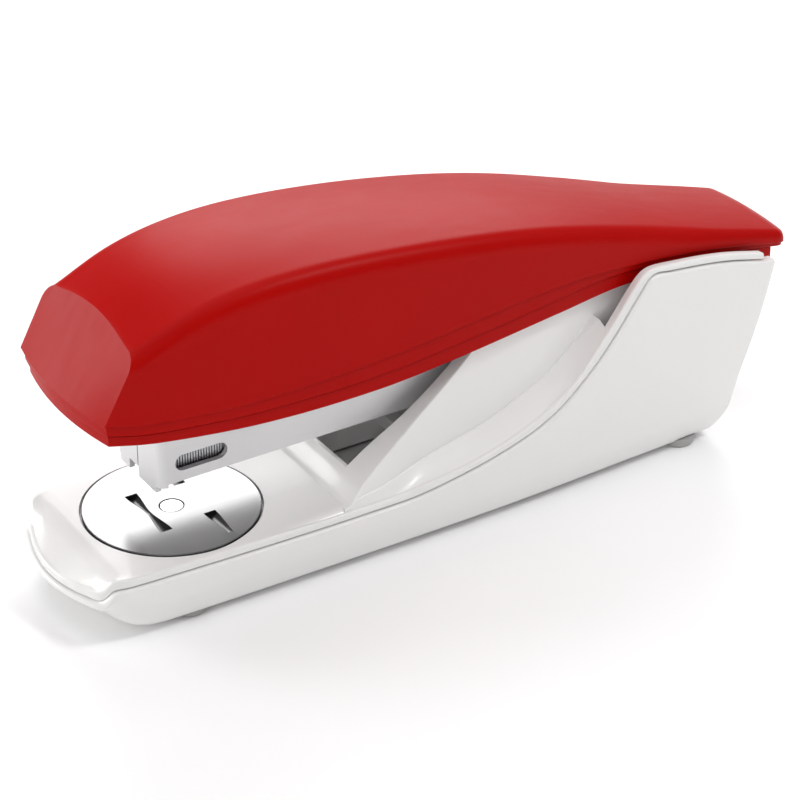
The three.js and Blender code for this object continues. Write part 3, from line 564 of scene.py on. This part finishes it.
def handle_skirt():
    """The stepped rim inside the cover. Its upper edge runs down to the shelf towards the tail."""

    def foot(x, share):
        return skirt_foot(x)

    def shelf(x, share):
        return lip_foot(x) - SHELF_DROP

    def upper(x, share):
        return shelf(x, share) + SKIRT_RISE * min(1.0, max(0.02, (SKIRT_END - x) / SKIRT_SLOPE))

    face, step, back = (1.0, 1.0, 3.2), (1.7, 2.0, 3.8), (2.3, 2.9, 4.4)
    net = Net()
    loops = net.stack([
        handle_loop(*insets, height)
        for insets, height in (
            (back, foot), (face, foot), (face, shelf), (step, shelf), (step, upper), (back, upper))
    ])
    net.strip(loops[-1], loops[0])
    finish_piece(mesh_of("handle_rim", net), "handle", RED, "handle_skirt", SKIRT_EDGE)


# ---- base shell ----
FRONT_CORNER = 11.5
SIDE_STATIONS = np.concatenate([
    np.arange(-12, 33, 3.0), np.arange(33, 74, 1.6), np.arange(74, 92, 0.8), np.arange(92, 108, 2.0)])
LEAN_START, LEAN_STEPS = 92.0, 5
REAR_NOMINAL = 109.0
REAR_PLACES = (13.0, 12.95, 10.5, 8.0, 5.5, 2.8, 0.0)
REAR_CORNER = 14.25
REAR_SLACK = 1.1
BASE_ACROSS = len(REAR_PLACES)
OPENING_START, OPENING_TOP, OPENING_HALF = 100.0, 11.0, 12.97
EDGE_BEAD = 0.55
BILGE_RISE, BILGE_TURN, BILGE_FALL = 6.0, 1.4, 1.1
LEAST_WALL = 0.2
BOW_POINTS = 19
BUTTON_HOLE, FOOT_HOLE, HEAD_HOLE, SHANK_HOLE = 5.6, 3.4, 3.3, 1.7


def quadratic(a, b, c, t):
    return tuple((1 - t) ** 2 * p + 2 * t * (1 - t) * q + t * t * r for p, q, r in zip(a, b, c))


def bow_plan(inset, across):
    """The +y half of the base's rounded front, from the middle to the start of its side."""
    tip = BASE_TIP + inset
    corner = (tip + 2.2, FRONT_CORNER - 0.55 * inset)
    side_x = -16.2 + 0.6 * inset
    side_start = (side_x, base_half(side_x) - inset)
    bend = (BASE_TIP + 3.3 + 0.85 * inset, 16.1 - inset)
    front = [quadratic((tip, 0), (tip, 5), corner, t) for t in np.linspace(0, 1, across + 1)]
    return front + [quadratic(corner, bend, side_start, t) for t in np.linspace(0, 1, BOW_POINTS)[1:]]


def boat_plan(inset):
    """The +y half of the base's outline: front middle, front corner, side, rear corner and rear middle. Each
    point is (x, y, y at the outer face)."""
    plan = bow_plan(inset, BASE_ACROSS)
    plan += [(x, base_half(x) - inset) for x in SIDE_STATIONS]
    half = base_half(REAR_NOMINAL) - inset
    turn = max(0.4, 1.2 - 0.4 * inset)
    for a in np.radians([0, 30, 60, 90]):
        plan.append((REAR_NOMINAL - turn * (1 - math.sin(a)), half - turn * (1 - math.cos(a))))
    share = (half - turn) / REAR_CORNER
    rear = [(REAR_NOMINAL, min(y, (y + REAR_SLACK) * share), y) for y in REAR_PLACES]
    return [(x, y, y) for x, y in plan] + rear


def base_loop(inset, height):
    """A loop round the base, whose rear end leans out with height. height(x, y) gives z, for y at the
    outer face."""
    right = []
    for x, y, outer_y in boat_plan(inset):
        share = min(1.0, max(0.0, (x - LEAN_START) / (REAR_NOMINAL - LEAN_START)))
        place = x
        for _ in range(LEAN_STEPS):
            z = height(place, outer_y)
            if share > 0:
                place = LEAN_START + share * (rear_face(z) - inset - LEAN_START)
        right.append((place, y, z))
    return both_sides(right)


def shell_edge(x, y):
    """The height of the shell's edge, which drops to a sill across the rear opening."""
    return OPENING_TOP if x > OPENING_START and abs(y) < OPENING_HALF else shell_top(x)


def shell_skin(net, inset, bead, reach, spare):
    """One face of the shell, from its rounded edge down the wall and round the bilge to the bottom. bead is
    how far in from the face the edge starts, and is negative on the inner face, reach is the bilge's width,
    and spare is the wall's least height."""

    def edge(drop):
        return lambda x, y: shell_edge(x, y) - drop

    def wall(share):
        def height(x, y):
            top = shell_edge(x, y) - EDGE_BEAD
            low = min(top - LEAST_WALL, keel(x) + inset + BILGE_RISE)
            return top + (low - top) * share
        return height

    def bilge(share):
        def height(x, y):
            top = shell_edge(x, y) - EDGE_BEAD
            low = min(top - LEAST_WALL, keel(x) + inset + BILGE_RISE)
            bottom = min(keel(x) + inset, top - spare)
            return bottom + (low - bottom) * share
        return height

    loops = [
        base_loop(inset + bead * (1 - math.sin(a)), edge(EDGE_BEAD * (1 - math.cos(a))))
        for a in np.radians([0, 25, 45, 65])
    ]
    loops += [base_loop(inset, wall(share)) for share in (0, 0.2, 0.4, 0.6, 0.8, 1)]
    for a in np.radians([12, 25, 38, 50, 62, 76, 90]):
        share = max(0.0, 1 - math.sin(a) ** BILGE_TURN) ** BILGE_FALL
        loops.append(base_loop(inset + reach * (1 - math.cos(a)), bilge(share)))
    made = net.stack(loops)
    net.patch(made[-1], BASE_ACROSS, flat_between)
    return made[0]


def base_shell():
    net = Net()
    outside = shell_skin(net, 0, bead=EDGE_BEAD, reach=3.4, spare=0.5)
    inside = shell_skin(net, SHELL_WALL, bead=-EDGE_BEAD, reach=2.4, spare=0.7)
    net.strip(outside, inside)
    shell = mesh_of("base_body", net)
    holes = Net()
    lathe(holes, [(BUTTON_HOLE, -1), (BUTTON_HOLE, 4)], (0, 0), 64)
    for x, _ in FOOT_PLACES:
        for side in (-1, 1):
            lathe(holes, [(FOOT_HOLE, -1), (FOOT_HOLE, 1.9)], (x, side * FOOT_Y), 40)
    for place in SCREW_PLACES:
        lathe(holes, [(HEAD_HOLE, -1), (HEAD_HOLE, 1.6), (SHANK_HOLE, 1.6), (SHANK_HOLE, 6)], place, 32)
    combine(shell, holes)
    finish_piece(shell, "base", PALE, "base_shell")


# ---- base liner ----
TRAY_END = 27.2
TRAY_STATIONS = np.concatenate([np.arange(-12, 24, 2.0), (24.5, 25.8)])
RIM_INSET, RIM_LEAST = 0.6, 0.7
RIM_LEG, RIM_LEG_END, SHORT_LEG = 4, 111, 0.1
EDGE_GAP = 0.35
NARROWS_FROM, NARROWS_OVER = 71, 7.2
CREASE_BEAD = 0.42
TRAY_ACROSS = 8
LEDGE_STATIONS = np.concatenate([np.arange(24.2, 32, 0.4), np.arange(32, 78.1, 1.0)])
CHEEK_STATIONS = np.concatenate([
    np.arange(24.3, 32, 0.4), np.arange(32.3, 60, 1.0), np.arange(60.3, 88.1, 2)])
RIM_STATIONS = np.concatenate([np.arange(77.4, 90, 0.6), np.arange(90, 113.8, 1.5)])
# The rim's rounded bead, as distances in from the rim's outer face and up from its top.
RIM_BEAD = ((0.0, -0.4), (0.05, -0.2), (0.17, -0.05), (0.38, 0.03), (0.62, -0.02))


def tray_loop(inset, height):
    plan = bow_plan(inset, TRAY_ACROSS) + [(x, base_half(x) - inset) for x in TRAY_STATIONS]
    half = base_half(TRAY_END) - inset
    plan += [(TRAY_END - 0.2 * inset, half * share) for share in np.linspace(1, 0, TRAY_ACROSS + 1)]
    return both_sides([(x, y, height(x)) for x, y in plan])


def liner_tray(net):
    """The tray round the anvil, from under its edge, over the beaded rim and down to its floor."""

    def level(curve, lift):
        return lambda x: curve(x) + lift

    loops = [
        tray_loop(2.2, level(tray_top, -1.3)), tray_loop(1.4, level(shell_top, 0.3)),
        tray_loop(RIM_INSET, level(shell_top, 0.3)),
    ]
    loops += [tray_loop(RIM_INSET + inward, level(rim_top, lift)) for inward, lift in RIM_BEAD]
    loops += [
        tray_loop(RIM_INSET + 1.1, lambda x: (rim_top(x) + tray_top(x)) / 2),
        tray_loop(RIM_INSET + 2.0, tray_top),
    ]
    made = net.stack(loops)
    net.patch(made[-1], TRAY_ACROSS, flat_between)
    net.patch(made[0], TRAY_ACROSS, flat_between)


def sided(net, stations, section):
    """Closed bars along x, mirrored to both sides. section(x) is a ring of (y, z)."""
    for side in (-1, 1):
        net.solid([[(x, side * y, z) for y, z in section(x)] for x in stations])


def rim_ring(x, leg=RIM_LEG):
    """The rim's outer face and bead, over a leg that goes down inside the shell, with the heights of the
    shell's edge and of the rim."""
    half = base_half(x)
    edge = shell_top(x) + EDGE_GAP
    rim = max(rim_top(x), edge + RIM_LEAST)
    ring = [(half - 2.1, edge - leg), (half - 2.1, edge), (half - RIM_INSET, edge)]
    ring += [(half - RIM_INSET - inward, rim + lift) for inward, lift in RIM_BEAD]
    return ring, edge, rim


def liner_ledge(x):
    """The sloping ledge from the rim in to the cheek, with a raised crease at the cheek's foot. It narrows
    towards the tail, where the rim joins the cheek."""
    ring, _, rim = rim_ring(x)
    crease = min(crease_height(x), band_top(x) - 0.02)
    share = min(1.0, max(0.0, (x - NARROWS_FROM) / NARROWS_OVER))
    inner = ring[-1][0]
    face = cheek_face(x) + 0.5 * (inner - cheek_face(x)) * share**2
    bead = min(CREASE_BEAD, 0.1 + 0.05 * (x - 24)) * (1 - share)
    start, end = rim - 0.1, crease - 0.35 * bead
    slope = [
        (inner + (face + bead - inner) * s, start + (end - start) * (s - 0.25 * s * (1 - s)))
        for s in (0.25, 0.5, 0.75, 1)
    ]
    return [(CHEEK_INNER, LINER_FOOT), (base_half(x) - 2.8, LINER_FOOT)] + ring + slope + [
        (face + bead * 0.85, crease - 0.05 * bead), (face + bead * 0.55, crease + 0.15 * bead),
        (face + bead * 0.2, crease + 0.2 * bead), (face - 0.4, crease + 0.2 * bead), (CHEEK_INNER, crease),
    ]


def liner_cheek(x):
    """The upright cheek beside the magazine, with a rounded top."""
    top = band_top(x)
    root = LINER_FOOT + 0.1 if x > 77 else min(crease_height(x), top) - 1.4
    face = cheek_face(x)
    sides = [(face, root + (top - 0.35 - root) * s) for s in (0, 0.33, 0.66, 1)]
    return [(CHEEK_INNER, root)] + sides + [
        (face - 0.06, top - 0.16), (face - 0.2, top - 0.04), (face - 0.4, top), (CHEEK_INNER + 0.4, top),
        (CHEEK_INNER + 0.1, top - 0.1), (CHEEK_INNER, top - 0.4),
    ]


def liner_rim(x):
    """The rim behind the ledge. Its leg ends short of the tail."""
    leg = RIM_LEG if x < RIM_LEG_END else SHORT_LEG
    ring, edge, rim = rim_ring(x, leg)
    half = base_half(x)
    return ring + [
        (half - 2.2, rim - 0.1), (half - 2.35, rim - 0.3), (half - 2.6, edge), (half - 2.9, edge - leg),
    ]


def across_bar(net, profile, half):
    """A bar across the base with the given (x, z) profile."""
    net.solid([[(x, y, z) for x, z in profile] for y in (-half, half)])


def base_liner():
    """The tray, and all that rises from it, joined into one piece."""
    net = Net()
    liner_tray(net)
    tray = mesh_of("base_tray", net)
    hole = Net()
    lathe(hole, [(RECESS_RADIUS, RECESS_FLOOR), (RECESS_RADIUS, 20)], (0, 0), 160)
    combine(tray, hole)
    parts = [Net() for _ in range(6)]
    sided(parts[0], LEDGE_STATIONS, liner_ledge)
    sided(parts[1], CHEEK_STATIONS, liner_cheek)
    sided(parts[2], RIM_STATIONS, liner_rim)
    ramp = [(x, band_top(x) - 0.03) for x in np.arange(24.45, 28.0, 0.3)]
    crossbar = [(24.45, 11.35)] + ramp + [
        (28.3, 15.95), (28.9, 15.95), (29.15, 15.8), (29.2, 15.5), (29.2, 8), (27.4, 8), (27.4, 11.35),
    ]
    across_bar(parts[3], crossbar, 10.2)
    across_bar(parts[4], [(47, 8.5), (47, 10.8), (47.2, 11), (49.8, 11), (50, 10.8), (50, 8.5)], 9.9)
    across_bar(parts[5], [(84, 6.1), (84, 8), (87, 8), (87, 6.1)], 10)
    for part in parts:
        combine(tray, part, "UNION")
    finish_piece(tray, "base", PALE, "base_liner")


# ---- feet, screws, springs ----
FOOT_PROFILE = ((2.1, 0), (2.5, 0.02), (2.8, 0.14), (2.95, 0.38), (3.1, 1.7))
SCREW_PROFILE = ((2.4, 0.9), (2.75, 1.0), (3, 1.25), (1.3, 1.75), (1.3, 7.5), (0.4, 8.3))
CROSS_LONG, CROSS_WIDE = 1.5, 0.28


def feet():
    for x, end in FOOT_PLACES:
        for side, hand in ((-1, "left"), (1, "right")):
            net = Net()
            lathe(net, FOOT_PROFILE, (x, side * FOOT_Y), 48)
            finish_piece(mesh_of(f"pad_{end}_{hand}", net), "base", FOOT, f"foot_{end}_{hand}")


def screws():
    """The base screws, seen from below, each with a cross recess."""
    for number, (x, y) in enumerate(SCREW_PLACES, 1):
        net = Net()
        lathe(net, SCREW_PROFILE, (x, y), 36)
        screw = mesh_of(f"screw_{number}", net)
        for a, b in ((CROSS_LONG, CROSS_WIDE), (CROSS_WIDE, CROSS_LONG)):
            slot = Net()
            ring = [(x - a, y - b), (x + a, y - b), (x + a, y + b), (x - a, y + b)]
            slot.solid([[(u, v, z) for u, v in ring] for z in (0.4, 1.25 + 0.05 * a)])
            combine(screw, slot)
        finish_piece(screw, "base", WIRE, f"base_screw_{number}")


def spring(name, node, body, path, radius):
    net = Net()
    tube(net, path, radius)
    return finish_piece(mesh_of(name, net), body, WIRE, node)


def feed_spring():
    """The coil on the guide rod, which the pusher presses against the spring bracket."""
    low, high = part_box("pusher_spring")
    wire, radius, turns = 0.25, 1.85, 14
    start, end = ((x - ANVIL_X) / MM for x in (low.x, high.x))
    start, end = start + 0.4, end - 0.4
    path = []
    for t in np.linspace(0, 1, turns * 20 + 1):
        angle = 2 * math.pi * turns * t
        path.append((start + (end - start) * t, radius * math.cos(angle), ROD_Z + radius * math.sin(angle)))
    coil = spring("feed_spring", "pusher_spring", "magazine", path, wire)
    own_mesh(coil)


def button_spring():
    """The coil on the anvil's stem, which holds the button down."""
    wire, radius, turns = 0.3, 3.2, 4
    path = []
    for t in np.linspace(0, 1, turns * 24 + 1):
        angle = 2 * math.pi * turns * t
        path.append((radius * math.cos(angle), radius * math.sin(angle), 3.7 + 5.5 * t))
    coil = spring("button_spring", "anvil_spring", "base", path, wire)
    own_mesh(coil)


def torsion_spring():
    """The coil on the hinge pin, with one arm on the magazine's floor and one under the handle's frame."""
    wire, radius, turns, half = 0.45, 3.2, 5.4, 4.6
    path = [(94.4, -5, 24.3), (97, -5, 23.9), (100, -4.95, 23.55), (102.5, -4.8, 23.32)]
    for t in np.linspace(0, 1, int(turns * 24)):
        angle = -math.pi / 2 - 2 * math.pi * turns * t
        x, z = PIVOT_X - radius * math.cos(angle), PIVOT_Z + radius * math.sin(angle)
        path.append((x, -half + 2 * half * t, z))
    path += [(100.5, 4.8, 30.5), (98, 5, 33), (92, 5, 35.8), (84, 5, 37.8)]
    spring("torsion_spring", "handle_spring", "magazine", path, wire)


# ---- anvil ----
STEM_HOLE = 2.2
BUTTON_PROFILE = (
    (4.2, 1), (4.8, 1.15), (5, 1.5), (5, 2.7), (4.8, 2.9),
    (2, 3.2), (2.02, 12.45), (1.95, 12.56), (1.8, 12.6),
)


def groove(net, ends, stations=14):
    """A tapering hollow along y. ends are (y, x low, x high, depth) at its two ends."""
    (y0, a0, b0, d0), (y1, a1, b1, d1) = ends
    rings = []
    for t in np.linspace(0, 1, stations):
        ease = t * t * (3 - 2 * t)
        low, high = a0 + (a1 - a0) * ease, b0 + (b1 - b0) * ease
        depth = d0 + (d1 - d0) * t
        floor = [
            (low + (high - low) * s, DISC_TOP - depth * math.sin(math.pi * (0.12 + 0.76 * s)) ** 0.6)
            for s in np.linspace(0, 1, 7)
        ]
        ring = [(low, DISC_TOP + 1)] + floor + [(high, DISC_TOP + 1)]
        rings.append([(x, y0 + (y1 - y0) * t, z) for x, z in ring])
    net.solid(rings)


def anvil_disc():
    """The disc with its clinch and pinning grooves, and the button that carries it."""
    low = DISC_TOP - DISC_THICK
    net = Net()
    lathe(net, [
        (STEM_HOLE + 0.05, low), (DISC_RADIUS - 0.1, low), (DISC_RADIUS, low + 0.1),
        (DISC_RADIUS, DISC_TOP - 0.14), (DISC_RADIUS - 0.05, DISC_TOP - 0.04), (DISC_RADIUS - 0.16, DISC_TOP),
    ], (0, 0), 192)
    disc = mesh_of("anvil_plate", net)
    grooves = Net()
    for side in (-1, 1):
        groove(grooves, ((side * 6.5, -5.5, -3.25, 0.8), (side * 0.0, -4.75, -3.95, 0.25)))
        groove(grooves, ((side * 5.1, 3.3, 5.5, 0.8), (side * 12.35, 3.95, 5.15, 0.2)))
    combine(disc, grooves)
    hole = Net()
    lathe(hole, [(STEM_HOLE, 5), (STEM_HOLE, 20)], (0, 0), 64)
    combine(disc, hole)
    finish_piece(disc, "anvil", ANVIL, "anvil_disc")
    button = Net()
    lathe(button, BUTTON_PROFILE, (0, 0), 64)
    finish_piece(mesh_of("anvil_stem", button), "anvil_lifter", MIRROR, "anvil_button")


# ---- staples ----
def staple_strip():
    """The strip as separate staples, each a rounded wire bow that stands on the rail."""
    low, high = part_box("staple_strip")
    foot, top, half = low.z / MM, high.z / MM, high.y / MM
    start = (low.x - ANVIL_X) / MM
    wire, pitch, gap, turn = 0.5, 0.5, 0.11, 0.55
    outer = [(-half, foot + 0.3)]
    for a in np.radians([180, 150, 120, 90]):
        outer.append((-half + turn + turn * math.cos(a), top - turn + turn * math.sin(a)))
    outer += [(-y, z) for y, z in reversed(outer[1:])] + [(half, foot + 0.3)]
    inner_half, inner_top = half - wire, top - wire
    inner = [
        (inner_half - 0.1, foot), (inner_half, foot + 0.35), (inner_half, inner_top - 0.15),
        (inner_half - 0.15, inner_top),
    ]
    ring = outer + inner + [(-y, z) for y, z in reversed(inner)]
    net = Net()
    for i in range(round((high.x - low.x) / MM / pitch)):
        x = start + pitch * i + 0.05
        net.solid([[(x, y, z) for y, z in ring], [(x + pitch - gap, y, z) for y, z in ring]])
    finish_piece(
        mesh_of("staples", net), "magazine", STAPLES, "staple_strip", STAPLE_EDGE)


# ---- carried-over CAD nodes ----
NODE_SHARP, NODE_ROUND = 32, 40


def dress_nodes():
    """Finishes for the CAD nodes that no Blender piece stands for."""
    for entry in frame["record"]["subparts"]:
        name = entry["node"]
        node = frame["nodes"][name]
        if node.hide_render:
            continue
        node.data.materials.clear()
        node.data.materials.append(ZINC if name == "base_frame" else SLOT_FINISH[entry["material_slot"]])
        node.data.shade_smooth()
        node.data.set_sharp_from_angle(angle=math.radians(NODE_SHARP))
        soften(node, NODE_EDGE, NODE_ROUND)


# ---- studio ----
FLOOR_HALF, FLOOR_STEPS = 3.0, 13
WORLD_STRENGTH = 0.33
AIM = Vector((0, 0, 0.02))
# Name, place in metres, width in metres, power in watts.
LIGHTS = (
    ("top", (-0.1, 0.1, 1.1), 1.0, 4.4),
    ("front", (-0.65, -0.75, 0.6), 0.7, 2.2),
    ("rear", (0.5, 0.8, 0.6), 0.7, 6.8),
    ("nose", (-0.72, 0.78, 0.24), 0.45, 5.6),
    ("edge", (0.5, -0.4, 0.85), 0.2, 3.2),
)
VIEW_AZIMUTH, VIEW_ELEVATION = math.radians(-32.2), math.radians(30.54)
VIEW_DISTANCE = 0.5089
VIEW_TARGET = Vector((-3.17, 0, 18.91)) * MM
LENS = 131.7


def floor():
    steps = np.linspace(-FLOOR_HALF, FLOOR_HALF, FLOOR_STEPS)
    points = [(x, y, 0.0) for y in steps for x in steps]
    corners = [j * FLOOR_STEPS + i for j in range(FLOOR_STEPS - 1) for i in range(FLOOR_STEPS - 1)]
    faces = [(k, k + 1, k + FLOOR_STEPS + 1, k + FLOOR_STEPS) for k in corners]
    mesh = bpy.data.meshes.new("studio_floor")
    mesh.from_pydata(points, [], faces)
    mesh.materials.append(PAPER)
    in_scene(bpy.data.objects.new("studio_floor", mesh))


def lights():
    world = bpy.data.worlds.new("studio")
    world.use_nodes = True
    background = world.node_tree.nodes["Background"]
    background.inputs["Color"].default_value = (1, 1, 1, 1)
    background.inputs["Strength"].default_value = WORLD_STRENGTH
    bpy.context.scene.world = world
    for name, place, size, power in LIGHTS:
        light = bpy.data.lights.new(name, "AREA")
        light.shape = "SQUARE"
        light.size = size
        light.energy = power
        lamp = in_scene(bpy.data.objects.new(name, light))
        lamp.location = place
        lamp.rotation_mode = "QUATERNION"
        lamp.rotation_quaternion = (Vector(place) - AIM).to_track_quat("Z", "Y")
    bpy.context.scene.view_settings.view_transform = "Standard"


def camera():
    level = math.cos(VIEW_ELEVATION)
    back = Vector((math.sin(VIEW_AZIMUTH) * level, -math.cos(VIEW_AZIMUTH) * level, math.sin(VIEW_ELEVATION)))
    data = bpy.data.cameras.new("camera")
    data.sensor_width = 36
    data.lens = LENS
    data.clip_start = 0.01
    obj = in_scene(bpy.data.objects.new("camera", data))
    obj.location = VIEW_TARGET + back * VIEW_DISTANCE
    obj.rotation_mode = "QUATERNION"
    obj.rotation_quaternion = back.to_track_quat("Z", "Y")
    bpy.context.scene.camera = obj


camera()
floor()
lights()
handle_shell()
handle_skirt()
base_shell()
base_liner()
feet()
screws()
feed_spring()
button_spring()
torsion_spring()
anvil_disc()
staple_strip()
dress_nodes()
